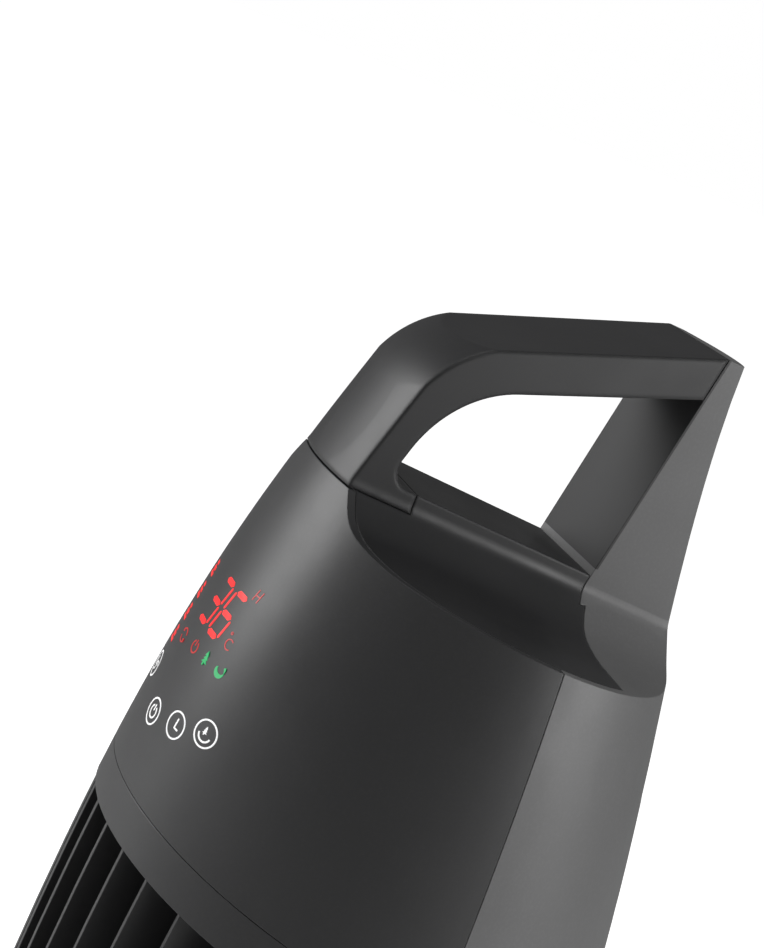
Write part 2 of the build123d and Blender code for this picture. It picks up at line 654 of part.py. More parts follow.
def display_board():
    board = Box(60, BOARD_THICK, 50)
    for x in (-26, 26):
        board -= Pos(x, 0, 21) * Rot(90, 0, 0) * Cylinder(1.6, 10)
    return on_front(0, DISPLAY_DEPTH, 12.5, board)


def icon_lamps():
    """Small lamps for the symbols and the speed scale."""
    row = [Pos(x, -2.2, -16) * Box(3, 2.4, 3) for x in range(-20, 21, 10)]
    scale = [Pos(-26, -2.2, 4 - 8 * i) * Box(3, 2.4, 3) for i in range(3)]
    return Compound([on_front(0, DISPLAY_DEPTH, 12.5, lamp) for lamp in row + scale])


def touch_board():
    return on_front(0, KEY_DEPTH, KEY_BOARD_INSET, Box(72, BOARD_THICK, 22))


def touch_springs():
    """Sensing springs that press the touch board's pads against the cap."""
    springs = []
    front, side = reach(FRONT, KEY_DEPTH), reach(SIDE, KEY_DEPTH)
    for i in range(-2, 3):
        x = i * KEY_PITCH
        edge = abs(x) + KEY_SPRING_R
        sag = front * (1 - sqrt(1 - (edge / side) ** 2))
        length = KEY_BOARD_INSET - BOARD_THICK / 2 - WALL - sag - 0.8
        pin = Rot(90, 0, 0) * Cylinder(KEY_SPRING_R, length, align=(Align.CENTER, Align.CENTER, Align.MIN))
        seat = Pos(x, -BOARD_THICK / 2, KEY_SMILE * x * x - 4)
        springs.append(on_front(0, KEY_DEPTH, KEY_BOARD_INSET, seat * pin))
    return Compound(springs)


def ir_receiver():
    return on_front(0, CAP_SEAM_DEPTH - 8, 6.5, Box(7, 4, 7))


def main_board():
    board = Pos(0, BOARD_Y, BOARD_Z) * Box(84, BOARD_THICK, 60)
    for x, z in board_screw_places():
        board -= Pos(x, BOARD_Y, z) * Rot(90, 0, 0) * Cylinder(1.9, 10)
    return board


def board_screw_places():
    return [(x, BOARD_Z + z) for x in (-38, 38) for z in (-26, 26)]


def board_screws():
    screws = []
    for x, z in board_screw_places():
        screws.append(Pos(x, BOARD_Y + BOARD_THICK / 2, z) * Rot(90, 0, 0) * screw(0, 0, 0, 7, 1, 1.45))
    return Compound(screws)


def board_components():
    """Transformer, capacitors, relay and terminal block on the main board."""
    face_y = BOARD_Y + BOARD_THICK / 2
    parts = [Pos(-20, face_y + 11, BOARD_Z - 2) * Box(28, 22, 24)]
    parts.append(Pos(12, face_y + 8, BOARD_Z + 12) * Box(16, 16, 12))
    parts.append(Pos(28, face_y + 5, BOARD_Z - 16) * Box(22, 10, 10))
    for x in (2, 14):
        parts.append(Pos(x, face_y, BOARD_Z - 14) * Rot(-90, 0, 0)
                     * Cylinder(5, 16, align=(Align.CENTER, Align.CENTER, Align.MIN)))
    return Compound(parts)


def board_posts():
    """Two uprights on a foot that carry the main board on the tower floor."""
    floor_top = FLOOR_LOW + FLOOR_THICK
    centre_low = (Align.CENTER, Align.MAX, Align.MIN)
    back = BOARD_Y - BOARD_THICK / 2 - 0.05
    posts = Pos(0, back, floor_top) * Box(90, 7, 4, align=centre_low)
    for x in (-38, 38):
        posts += Pos(x, back, floor_top) * Box(8, 7, 70, align=centre_low)
    for x, z in board_screw_places():
        posts -= Pos(x, back, z) * Rot(90, 0, 0) * Cylinder(1.5, 20)
    return posts


# ---------------------------------------------------------------- turning foot
def gear_outline(teeth, backlash):
    """Involute spur gear, as one closed face."""
    pitch_r = GEAR_MODULE * teeth / 2
    base_r = pitch_r * cos(radians(PRESSURE_ANGLE))
    tip_r = pitch_r + 0.95 * GEAR_MODULE
    root_r = pitch_r - 1.2 * GEAR_MODULE
    pitch_roll = tan(radians(PRESSURE_ANGLE))
    half_tooth = pi / (2 * teeth) - backlash / (2 * pitch_r) + pitch_roll - radians(PRESSURE_ANGLE)

    def flank_point(r):
        roll = sqrt(max((r / base_r) ** 2 - 1, 0))
        return half_tooth - (roll - atan(roll))

    low_r = max(base_r, root_r)
    radii = [low_r + (tip_r - low_r) * k / FLANK_STEPS for k in range(FLANK_STEPS + 1)]
    flank = [(r, flank_point(r)) for r in radii]
    if root_r < base_r:
        flank.insert(0, (root_r, flank_point(base_r)))
    points = []
    for i in range(teeth):
        middle = 2 * pi * i / teeth
        points += [(r, middle - half) for r, half in flank]
        points += [(r, middle + half) for r, half in reversed(flank)]
    return make_face(Polyline(*[(r * cos(a), r * sin(a)) for r, a in points], close=True))


def turn_gear():
    """Ring gear under the tower floor; the motor's pinion drives it."""
    gear = extrude(Pos(0, 0, GEAR_LOW) * gear_outline(GEAR_TEETH, GEAR_BACKLASH), GEAR_HEIGHT)
    body = tube(GEAR_SCREW_R + 5, 0, GEAR_LOW, FLOOR_LOW)
    holes = [tube(MOUNT_SCREW + RUN, 0, 0, 100, x, y) for x, y in around(GEAR_SCREW_R, GEAR_SCREWS, pi / 4)]
    return gear + body - tube(SPINDLE_R + RUN, 0, 0, 100) - holes


def gear_screws():
    top = FLOOR_LOW + FLOOR_THICK
    return Compound([screw(x, y, top, FLOOR_THICK + 5, -1, MOUNT_SCREW)
                     for x, y in around(GEAR_SCREW_R, GEAR_SCREWS, pi / 4)])


def drive_pinion():
    """Pinion, set half a tooth round so that it meshes with the gear at rest."""
    face = Rot(0, 0, MOTOR_BEARING + 180 + 180 / PINION_TEETH) * gear_outline(PINION_TEETH, GEAR_BACKLASH)
    wheel = extrude(Pos(0, 0, GEAR_LOW) * face, GEAR_HEIGHT)
    shaft = tube(PINION_SHAFT_R, 0, COVER_TOP - 12, GEAR_LOW + GEAR_HEIGHT)
    x, y = motor_place()
    return Pos(x, y, 0) * (wheel + shaft)


def motor_place():
    """Where the turning motor stands, beside the spindle."""
    distance = GEAR_MODULE * (GEAR_TEETH + PINION_TEETH) / 2
    return distance * cos(radians(MOTOR_BEARING)), distance * sin(radians(MOTOR_BEARING))


def turn_motor():
    """Flat synchronous gear motor hung under the base cover."""
    can = tube(TURN_MOTOR_R, 0, COVER_TOP - COVER_WALL - 13.5, COVER_TOP - COVER_WALL)
    ears = Pos(0, 0, COVER_TOP - COVER_WALL - 1) * Box(2 * TURN_MOTOR_R + 18, 9, 2)
    for x in (-TURN_MOTOR_R - 5, TURN_MOTOR_R + 5):
        ears -= Pos(x, 0, COVER_TOP - COVER_WALL) * Cylinder(2.0, 10)
    motor = can + ears - tube(PINION_SHAFT_R + RUN, 0, 0, 100)
    x, y = motor_place()
    return Pos(x, y, 0) * Rot(0, 0, MOTOR_BEARING + 90) * motor


def turn_motor_screws():
    x, y = motor_place()
    low = COVER_TOP - COVER_WALL - 2
    pair = [screw(dx, 0, low, 2 + COVER_WALL - 0.6, 1, 1.5) for dx in (-TURN_MOTOR_R - 5, TURN_MOTOR_R + 5)]
    return Pos(x, y, 0) * Rot(0, 0, MOTOR_BEARING + 90) * Compound(pair)


def slip_washer():
    """Low-friction ring that the tower's weight rides on."""
    return tube(SPINDLE_R + 9, SPINDLE_R + 0.3, COVER_TOP, GEAR_LOW - 0.1)


def spindle():
    """Hollow post of the base; the leads run up through it."""
    post = tube(SPINDLE_R, SPINDLE_R - 4, COVER_TOP - 8, SPINDLE_TOP)
    return post + tube(SPINDLE_R + 12, SPINDLE_R - 4, COVER_TOP - COVER_WALL - 3, COVER_TOP - COVER_WALL)


def retaining_ring():
    """Cap ring on the spindle that keeps the tower from lifting off."""
    low = FLOOR_LOW + HUB_HEIGHT + 0.2
    return tube(SPINDLE_R + 7, SPINDLE_R - 4, SPINDLE_TOP, SPINDLE_TOP + 3) + tube(SPINDLE_R + 7, SPINDLE_R, low,
                                                                                  SPINDLE_TOP)


# ---------------------------------------------------------------- base
def base_profile(inset):
    """Half section of the base's dome: upright edge, round shoulder, flat top."""
    r, top = BASE_R - inset, COVER_TOP - inset
    shoulder = BASE_R - DOME_RUN
    low = RIM_LOW if not inset else RIM_LOW - 1
    edges = Line((0, low), (r, low)) + Line((r, low), (r, EDGE_TOP))
    edges += Spline([(r, EDGE_TOP), (r - 9, EDGE_TOP + 6 - inset * 0.3), (shoulder, top)],
                    tangents=[(-0.25, 1), (-1, 0.04)])
    edges += Polyline((shoulder, top), (0, top), (0, low))
    return Plane.XZ * make_face(edges)


def base_cover():
    """Domed cover with the spindle's hole, the turning motor's hole and screw bosses."""
    dome = revolve(base_profile(0), Axis.Z) - revolve(base_profile(COVER_WALL), Axis.Z)
    dome -= tube(SPINDLE_R + GAP, 0, 0, 100)
    x, y = motor_place()
    dome -= tube(PINION_SHAFT_R + 1.5, 0, 0, 100, x, y)
    dome -= Pos(x, y, 0) * Rot(0, 0, MOTOR_BEARING + 90) * Compound(
        [Pos(dx, 0, COVER_TOP - COVER_WALL) * Cylinder(1.55, 4) for dx in (-TURN_MOTOR_R - 5, TURN_MOTOR_R + 5)])
    inside = revolve(base_profile(COVER_WALL / 2), Axis.Z)
    bosses = [inside & tube(5, 1.7, PLATE_TOP + 0.05, COVER_TOP, bx, by) for bx, by in around(BASE_SCREW_R, 6)]
    bosses = [boss - tube(1.7, 0, PLATE_TOP - 1, PLATE_TOP + 10, *place)
              for boss, place in zip(bosses, around(BASE_SCREW_R, 6))]
    dome = dome.fuse(*bosses)
    return dome - gland_hole(CORD_GLAND_R + GAP)


def gland_hole(radius):
    return Pos(0, BASE_R - 4, GLAND_Z) * Rot(90, 0, 0) * Cylinder(radius, 24)


def cord_gland():
    """Rubber inlet for the mains lead at the rear of the base."""
    ring = Rot(-90, 0, 0) * (Cylinder(CORD_GLAND_R, 7) - Cylinder(3.6, 8))
    flange = Rot(-90, 0, 0) * (Cylinder(CORD_GLAND_R + 2, 2) - Cylinder(3.6, 8))
    return Pos(0, BASE_R - 5.5, GLAND_Z) * ring + Pos(0, BASE_R - 10, GLAND_Z) * flange


def base_plate():
    """Flat underside with recesses for the feet and the screw heads."""
    plate = tube(BASE_R - COVER_WALL - 0.3, 0, PLATE_LOW, PLATE_TOP)
    for x, y in around(FOOT_RING_R, FEET, pi / FEET):
        plate -= tube(FOOT_R + 0.1, 0, 0, PLATE_LOW + 1.0, x, y)
    for x, y in around(BASE_SCREW_R, 6):
        plate -= tube(1.9, 0, 0, 100, x, y)
        plate -= tube(4.2, 0, 0, PLATE_LOW + 1.8, x, y)
    return plate


def base_screws():
    return Compound([screw(x, y, PLATE_LOW + 1.8, PLATE_TOP - PLATE_LOW + 6, 1, 1.65)
                     for x, y in around(BASE_SCREW_R, 6)])


def rubber_feet():
    feet = []
    for x, y in around(FOOT_RING_R, FEET, pi / FEET):
        foot = tube(FOOT_R, 0, 0, PLATE_LOW + 1.0, x, y)
        feet.append(chamfer(foot.edges().sort_by(Axis.Z)[0], 0.8))
    return Compound(feet)


def ballast_plate():
    """Steel weight that keeps the tower from tipping."""
    plate = tube(BALLAST_R, BALLAST_HOLE_R, PLATE_TOP, PLATE_TOP + BALLAST_THICK)
    return plate


# ---------------------------------------------------------------- fastening of the housings
def housing_screw_places():
    places = []
    for z in HOUSING_SCREW_Z:
        x = reach(SIDE, HANDLE_TOP - z) - WALL - HOUSING_SCREW_INSET
        places += [(-x, z), (x, z)]
    return places


def level_rod(radius, x, z, y_from, y_to):
    """Rod along Y."""
    rod = Cylinder(radius, y_to - y_from)
    return Pos(x, (y_from + y_to) / 2, z) * Rot(90, 0, 0) * rod


def front_pillars(shell):
    """Adds the pillars that the housing screws bite into."""
    for x, z in housing_screw_places():
        shell += level_rod(4.2, x, z, -22, -GAP / 2)
        shell -= level_rod(HOUSING_SCREW_R + 0.02, x, z, -18, 1)
    return shell


def rear_sockets(shell):
    """Adds the deep sockets that the housing screws are driven through."""
    for x, z in housing_screw_places():
        shell += level_rod(5.2, x, z, GAP / 2, FAR) & core
        shell -= level_rod(HOUSING_SCREW_R + 0.3, x, z, -1, FAR)
        shell -= level_rod(2.1 * HOUSING_SCREW_R + 0.4, x, z, HOUSING_HEAD_Y, FAR)
    return shell


def housing_screws():
    length = HOUSING_HEAD_Y + 6
    flat = screw(0, 0, 0, length, 1, HOUSING_SCREW_R)
    return Compound([Pos(x, HOUSING_HEAD_Y, z) * Rot(90, 0, 0) * flat for x, z in housing_screw_places()])


def strap_screw_places():
    seam = at_depth(DECK_DEPTH) - SADDLE_STEP + DECK_SLOPE * STRAP_SCREW_Y
    return [(side * STRAP_SCREW_X, STRAP_SCREW_Y, seam - WALL - 0.6) for side in (-1, 1)]


def strap_screws():
    return Compound([screw(x, y, z, 10, 1, 1.5) for x, y, z in strap_screw_places()])


def strap_screw_holes():
    return [tube(1.7, 0, z - 10, z + 12, x, y) for x, y, z in strap_screw_places()]


# ---------------------------------------------------------------- writing
PARTS = {
    "rubber_feet": rubber_feet,
    "base_plate": base_plate,
    "base_screws": base_screws,
    "ballast_plate": ballast_plate,
    "base_cover": base_cover,
    "cord_gland": cord_gland,
    "spindle": spindle,
    "retaining_ring": retaining_ring,
    "slip_washer": slip_washer,
    "turn_motor": turn_motor,
    "turn_motor_screws": turn_motor_screws,
    "drive_pinion": drive_pinion,
    "turn_gear": turn_gear,
    "gear_screws": gear_screws,
    "tower_floor": tower_floor,
    "grille_frame": lambda: front_pillars(grille_frame()),
    "outlet_fins": outlet_fins,
    "control_cap": control_cap,
    "saddle_cover": lambda: saddle_cover() - strap_screw_holes(),
    "handle_strap": lambda: handle_strap() - strap_screw_holes(),
    "handle_grip": handle_grip,
    "strap_screws": strap_screws,
    "rear_housing": lambda: rear_sockets(rear_housing()),
    "intake_grille": intake_grille,
    "housing_screws": housing_screws,
    "duct_floor": duct_floor,
    "duct_ceiling": duct_ceiling,
    "outlet_roof": outlet_roof,
    "scroll_wall": scroll_wall,
    "vortex_tongue": vortex_tongue,
    "impeller": impeller,
    "motor_shaft": motor_shaft,
    "top_pin": top_pin,
    "top_bearing": top_bearing,
    "bearing_mount": bearing_mount,
    "fan_motor": fan_motor,
    "motor_bracket": motor_bracket,
    "motor_isolators": motor_isolators,
    "motor_screws": motor_screws,
    "display_module": display_module,
    "display_board": display_board,
    "icon_lamps": icon_lamps,
    "touch_board": touch_board,
    "touch_springs": touch_springs,
    "ir_receiver": ir_receiver,
    "main_board": main_board,
    "board_components": board_components,
    "board_posts": board_posts,
    "board_screws": board_screws,
}

os.makedirs("parts", exist_ok=True)
for name, make in PARTS.items():
    shape = make()
    shape.label = name
    export_step(shape, os.path.join("parts", name + ".step"))
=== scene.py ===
"""Looks of the tower fan: materials, the display's lights, the touch keys' marks, a studio and the camera."""
import json
from math import cos, exp, pi, radians, sin, sqrt

import bmesh
import bpy
from mathutils import Matrix, Vector


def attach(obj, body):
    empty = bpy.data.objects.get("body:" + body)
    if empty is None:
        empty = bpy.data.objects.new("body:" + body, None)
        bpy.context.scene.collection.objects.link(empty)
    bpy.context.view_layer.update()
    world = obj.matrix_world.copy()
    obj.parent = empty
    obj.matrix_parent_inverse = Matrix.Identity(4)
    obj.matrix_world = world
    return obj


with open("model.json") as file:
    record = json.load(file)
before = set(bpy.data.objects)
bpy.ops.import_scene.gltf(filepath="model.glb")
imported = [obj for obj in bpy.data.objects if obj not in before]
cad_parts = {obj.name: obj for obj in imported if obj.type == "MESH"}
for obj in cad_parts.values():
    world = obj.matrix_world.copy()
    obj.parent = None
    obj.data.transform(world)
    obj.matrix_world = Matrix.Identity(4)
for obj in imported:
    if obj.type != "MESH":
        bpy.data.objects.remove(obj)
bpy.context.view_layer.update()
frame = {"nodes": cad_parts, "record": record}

# ---------------------------------------------------------------- the tower's front surface, as in the CAD
HANDLE_TOP = 0.900
FRONT = {"top": 0.0486, "full": 0.1015, "fade": 0.126, "power": 1.3}
SIDE = {"top": 0.0440, "full": 0.0925, "fade": 0.1395, "power": 1.1}
MARK_LIFT = 0.00012         # printed marks stand this far off the surface
MARK_THICK = 0.00025
FINE_STEP = 0.0006          # longest straight piece of a printed line


def reach(shape, depth):
    grown = 1 - exp(-((max(depth, 0.0) / shape["fade"]) ** shape["power"]))
    return shape["top"] + (shape["full"] - shape["top"]) * grown


def on_cap(x, z, lift=MARK_LIFT):
    """A point of the cap's front at x across and z up, in metres."""
    depth = HANDLE_TOP - z
    y = -reach(FRONT, depth) * sqrt(1 - (x / reach(SIDE, depth)) ** 2)
    return Vector((x, y - lift, z))


# ---------------------------------------------------------------- node helpers
class Nodes:
    """Short names for building one material."""

    def __init__(self, name):
        self.material = bpy.data.materials.new(name)
        self.material.use_nodes = True
        self.tree = self.material.node_tree
        self.tree.nodes.clear()
        self.out = self.add("ShaderNodeOutputMaterial")
        self.shader = self.add("ShaderNodeBsdfPrincipled")
        self.link(self.shader.outputs[0], self.out.inputs["Surface"])
        self.where = self.add("ShaderNodeTexCoord").outputs["Object"]

    def add(self, kind, **settings):
        node = self.tree.nodes.new(kind)
        for key, value in settings.items():
            setattr(node, key, value)
        return node

    def link(self, a, b):
        self.tree.links.new(a, b)

    def noise(self, scale, detail=2.0, rough=0.5, stretch=None):
        node = self.add("ShaderNodeTexNoise")
        node.inputs["Scale"].default_value = scale
        node.inputs["Detail"].default_value = detail
        node.inputs["Roughness"].default_value = rough
        source = self.where
        if stretch:
            mapping = self.add("ShaderNodeMapping")
            mapping.inputs["Scale"].default_value = stretch
            self.link(self.where, mapping.inputs["Vector"])
            source = mapping.outputs[0]
        self.link(source, node.inputs["Vector"])
        return node.outputs["Fac"]

    def remap(self, value, low, high, start=0.0, end=1.0):
        node = self.add("ShaderNodeMapRange")
        node.inputs["From Min"].default_value = start
        node.inputs["From Max"].default_value = end
        node.inputs["To Min"].default_value = low
        node.inputs["To Max"].default_value = high
        self.link(value, node.inputs["Value"])
        return node.outputs[0]

    def mix(self, factor, a, b):
        """Colour a to colour b; either may be a socket."""
        node = self.add("ShaderNodeMix", data_type="RGBA")
        self.link(factor, node.inputs["Factor"])
        for socket, value in ((node.inputs[6], a), (node.inputs[7], b)):
            if isinstance(value, tuple):
                socket.default_value = (*value, 1.0)
            else:
                self.link(value, socket)
        return node.outputs[2]

    def edges(self, radius):
        """1 on edges and 0 on flats, from how far the rounded normal leans off the true one."""
        bevel = self.add("ShaderNodeBevel", samples=6)
        bevel.inputs["Radius"].default_value = radius
        true_normal = self.add("ShaderNodeNewGeometry").outputs["Normal"]
        dot = self.add("ShaderNodeVectorMath", operation="DOT_PRODUCT")
        self.link(bevel.outputs[0], dot.inputs[0])
        self.link(true_normal, dot.inputs[1])
        return bevel.outputs[0], self.remap(dot.outputs["Value"], 1.0, 0.0, 0.80, 0.995)

    def bump(self, height, strength, distance, normal=None):
        node = self.add("ShaderNodeBump")
        node.inputs["Strength"].default_value = strength
        node.inputs["Distance"].default_value = distance
        self.link(height, node.inputs["Height"])
        if normal is not None:
            self.link(normal, node.inputs["Normal"])
        return node.outputs[0]

    def finish(self, color=None, rough=None, normal=None, **constants):
        if color is not None:
            self.link(color, self.shader.inputs["Base Color"])
        if rough is not None:
            self.link(rough, self.shader.inputs["Roughness"])
        if normal is not None:
            self.link(normal, self.shader.inputs["Normal"])
        for key, value in constants.items():
            self.shader.inputs[key.replace("_", " ")].default_value = value
        return self.material


def scaled(color, factor):
    return tuple(channel * factor for channel in color)


# ---------------------------------------------------------------- materials
def moulded(name, color, rough, grain=0.12, edge=0.0005, wear=1.5, specular=0.5):
    """Spark-eroded moulded plastic: fine grain, cloudy sheen, slightly polished edges."""
    n = Nodes(name)
    cloud = n.noise(14.0, 3.0)
    speck = n.noise(900.0, 1.0)
    body = n.mix(n.remap(cloud, 0.0, 1.0, 0.3, 0.7), scaled(color, 0.93), scaled(color, 1.07))
    body = n.mix(n.remap(speck, 0.0, 0.25, 0.45, 0.8), body, scaled(color, 1.35))
    rounded, edge_mask = n.edges(edge)
    scuff = n.add("ShaderNodeMath", operation="MULTIPLY")
    n.link(edge_mask, scuff.inputs[0])
    n.link(n.remap(n.noise(90.0, 4.0), 0.35, 1.0, 0.3, 0.7), scuff.inputs[1])
    body = n.mix(scuff.outputs[0], body, scaled(color, wear))
    grain_height = n.noise(2600.0, 2.0, 0.6)
    normal = n.bump(grain_height, grain, 0.0001, rounded)
    return n.finish(body, n.remap(n.noise(22.0, 4.0), rough - 0.05, rough + 0.06, 0.3, 0.7), normal,
                    Specular_IOR_Level=specular)


PANEL_Y = 0.044             # front face of the handle's column, at the handle top
PANEL_LEAN = 0.171          # how much the face leans back for each metre up
# lowest point of the painted shade on the column's front face
SHADE_FOOT = 0.821
SHADE_DEPTH = 0.0010         # depth of the painted shade behind that face


def rear_shell_look():
    """Grey moulding, with painted shade on the front face of the handle's column, where it faces the handle's
    opening.
    """
    material = moulded("rear_shell_look", GREY, 0.46, wear=1.25)
    tree = material.node_tree
    shader = next(node for node in tree.nodes if node.type == "BSDF_PRINCIPLED")
    grey = shader.inputs["Base Color"].links[0].from_socket
    split = tree.nodes.new("ShaderNodeSeparateXYZ")
    where = next(node for node in tree.nodes if node.type == "TEX_COORD")
    tree.links.new(where.outputs["Object"], split.inputs[0])

    def math(operation, a, b):
        node = tree.nodes.new("ShaderNodeMath")
        node.operation = operation
        for socket, value in zip(node.inputs, (a, b)):
            if isinstance(value, float):
                socket.default_value = value
            else:
                tree.links.new(value, socket)
        return node.outputs[0]

    # how far behind the column's leaning front face a point lies
    behind = math("SUBTRACT", split.outputs["Y"], math("MULTIPLY", split.outputs["Z"], PANEL_LEAN))
    on_panel = math("LESS_THAN", behind, PANEL_Y - PANEL_LEAN * HANDLE_TOP + SHADE_DEPTH)
    above = math("GREATER_THAN", split.outputs["Z"], SHADE_FOOT)
    # painted shade: the column's front face behind the strap, facing the handle's opening, gets the strap's
    # dark colour where shade falls
    painted_shade = tree.nodes.new("ShaderNodeMix")
    painted_shade.data_type = "RGBA"
    tree.links.new(math("MULTIPLY", on_panel, above), painted_shade.inputs["Factor"])
    tree.links.new(grey, painted_shade.inputs[6])
    painted_shade.inputs[7].default_value = (*DARK, 1.0)
    tree.links.new(painted_shade.outputs[2], shader.inputs["Base Color"])
    return material


def soft_touch(name, color):
    """Rubber: matte, with pores and a dusty bloom."""
    n = Nodes(name)
    bloom = n.noise(35.0, 5.0)
    body = n.mix(n.remap(bloom, 0.0, 1.0, 0.35, 0.7), color, scaled(color, 1.5))
    pores = n.noise(1500.0, 3.0, 0.7)
    rounded, _ = n.edges(0.0006)
    return n.finish(body, n.remap(bloom, 0.72, 0.9), n.bump(pores, 0.3, 0.0002, rounded),
                    Specular_IOR_Level=0.35)


def steel(name, color, rough, stretch=(1.0, 1.0, 30.0)):
    """Drawn or ground metal, with fine scratches along one direction and duller patches."""
    n = Nodes(name)
    lines = n.noise(300.0, 4.0, 0.7, stretch)
    patches = n.noise(28.0, 4.0)
    body = n.mix(n.remap(patches, 0.0, 1.0, 0.3, 0.7), scaled(color, 0.82), color)
    rounded, _ = n.edges(0.0002)
    return n.finish(body, n.remap(lines, rough - 0.08, rough + 0.12), n.bump(lines, 0.15, 0.0001, rounded),
                    Metallic=1.0)


def circuit_board(name):
    """Green solder mask over faint tracks."""
    n = Nodes(name)
    tracks = n.add("ShaderNodeTexBrick")
    tracks.inputs["Scale"].default_value = 180.0
    tracks.inputs["Mortar Size"].default_value = 0.06
    n.link(n.where, tracks.inputs["Vector"])
    body = n.mix(tracks.outputs["Fac"], (0.012, 0.13, 0.05), (0.03, 0.22, 0.09))
    return n.finish(body, n.remap(n.noise(60.0), 0.25, 0.42), n.bump(tracks.outputs["Fac"], 0.2, 0.0001))


def glow(name, color, strength):
    """Light shining through a small window, a little uneven like a real lamp behind plastic."""
    n = Nodes(name)
    patch = n.noise(260.0, 1.0)
    n.link(n.mix(patch, scaled(color, 0.82), color), n.shader.inputs["Emission Color"])
    n.shader.inputs["Emission Strength"].default_value = strength
    return n.finish(n.mix(patch, scaled(color, 0.25), scaled(color, 0.35)), n.remap(patch, 0.35, 0.45))


def printed(name, color):
    """Silk-screened ink: slightly broken at its edges and satin, with a painted glow: it gives off a little
    light though no lamp lies behind it.
    """
    n = Nodes(name)
    grain = n.noise(3000.0, 2.0)
    # painted glow: a weak emission brightens the white print beyond what the lamps give it
    return n.finish(n.mix(n.remap(grain, 0.0, 1.0, 0.35, 0.65), scaled(color, 0.9), color),
                    n.remap(grain, 0.4, 0.55), n.bump(grain, 0.2, 0.00005),
                    Emission_Color=(*color, 1.0), Emission_Strength=0.35)


CHARCOAL = (0.036, 0.036, 0.037)
DARK = (0.022, 0.022, 0.023)
GREY = (0.150, 0.150, 0.151)
NO_GRAIN = (1.0, 1.0, 1.0)     # scratches with no direction
SLOTS = {
    "front_shell": moulded("front_shell_look", CHARCOAL, 0.44),
    "fin_plastic": moulded("fin_look", CHARCOAL, 0.42),
    "saddle_plastic": moulded("saddle_look", (0.024, 0.024, 0.025), 0.42, edge=0.0012),
    "strap_plastic": moulded("strap_look", DARK, 0.46, edge=0.0022, wear=1.5),
    "grip_rubber": soft_touch("grip_look", DARK),
    "rear_shell": rear_shell_look(),
    "intake_plastic": moulded("intake_look", (0.100, 0.100, 0.101), 0.48, wear=1.25),
    "base_shell": moulded("base_look", CHARCOAL, 0.34, grain=0.07),
    "underside_plastic": moulded("underside_look", (0.028, 0.028, 0.029), 0.55, grain=0.25),
    "foot_rubber": soft_touch("rubber_look", (0.018, 0.018, 0.018)),
    "screw_steel": steel("screw_look", (0.60, 0.60, 0.57), 0.34, NO_GRAIN),
    "shaft_steel": steel("shaft_look", (0.66, 0.66, 0.66), 0.24),
    "ballast_steel": steel("ballast_look", (0.22, 0.22, 0.23), 0.62, NO_GRAIN),
    "motor_steel": steel("motor_look", (0.56, 0.57, 0.58), 0.40),
    "bracket_steel": steel("bracket_look", (0.50, 0.51, 0.52), 0.45, (1.0, 20.0, 1.0)),
    "gear_plastic": moulded("gear_look", (0.74, 0.73, 0.68), 0.40, grain=0.04, wear=1.05),
    "duct_plastic": moulded("duct_look", (0.030, 0.030, 0.031), 0.60, grain=0.2),
    "impeller_plastic": moulded("impeller_look", (0.045, 0.045, 0.047), 0.55, grain=0.2),
    "bearing_bronze": steel("bronze_look", (0.60, 0.40, 0.20), 0.45, NO_GRAIN),
    "circuit_board": circuit_board("board_look"),
    "component_plastic": moulded("component_look", (0.02, 0.02, 0.022), 0.30, grain=0.05),
    "lamp_plastic": moulded("lamp_look", (0.62, 0.61, 0.58), 0.35, grain=0.05, wear=1.05),
}

slot_of = {entry["node"]: entry["material_slot"] for entry in frame["record"]["subparts"]}
for node, obj in frame["nodes"].items():
    look = SLOTS[slot_of[node]]
    for place in obj.material_slots:
        place.material = look
    if not obj.material_slots:
        obj.data.materials.append(look)

RED = (0.95, 0.02, 0.02)
DIM_RED = (0.62, 0.03, 0.03)
GREEN = (0.02, 0.42, 0.13)
WHITE = (0.86, 0.86, 0.86)
red_glow = glow("red_light", RED, 1.1)
dim_glow = glow("dim_red_light", DIM_RED, 0.7)
green_glow = glow("green_light", GREEN, 0.9)
white_ink_with_painted_glow = printed("key_ink_painted_glow", WHITE)


# ---------------------------------------------------------------- flat marks laid on the cap
def stroke(points, width, closed=False):
    """Quads along a line of (x, z) points, in millimetres."""
    fine = []
    count = len(points) if closed else len(points) - 1
    for i in range(count):
        a, b = Vector(points[i]), Vector(points[(i + 1) % len(points)])
        steps = max(1, int((b - a).length / (FINE_STEP * 1000)))
        fine += [a.lerp(b, k / steps) for k in range(steps)]
    if not closed:
        fine.append(Vector(points[-1]))
    sides = []
    for i, point in enumerate(fine):
        before = fine[i - 1] if closed or i else point
        after = fine[(i + 1) % len(fine)] if closed or i < len(fine) - 1 else point
        along = (after - before).normalized()
        across = Vector((-along.y, along.x)) * width / 2
        sides.append((point + across, point - across))
    quads = []
    last = len(sides) if closed else len(sides) - 1
    for i in range(last):
        j = (i + 1) % len(sides)
        quads.append((sides[i][0], sides[j][0], sides[j][1], sides[i][1]))
    return quads


def circle(x, z, r, start=0.0, sweep=360.0, count=40):
    steps = count if sweep >= 360 else count + 1
    angles = [radians(start + sweep * i / count) for i in range(steps)]
    return [(x + r * cos(angle), z + r * sin(angle)) for angle in angles]


def fan_of(points):
    """Triangles from the middle of a convex or star-shaped outline."""
    middle = sum((Vector(p) for p in points), Vector((0, 0))) / len(points)
    return [(middle, Vector(points[i]), Vector(points[(i + 1) % len(points)])) for i in range(len(points))]


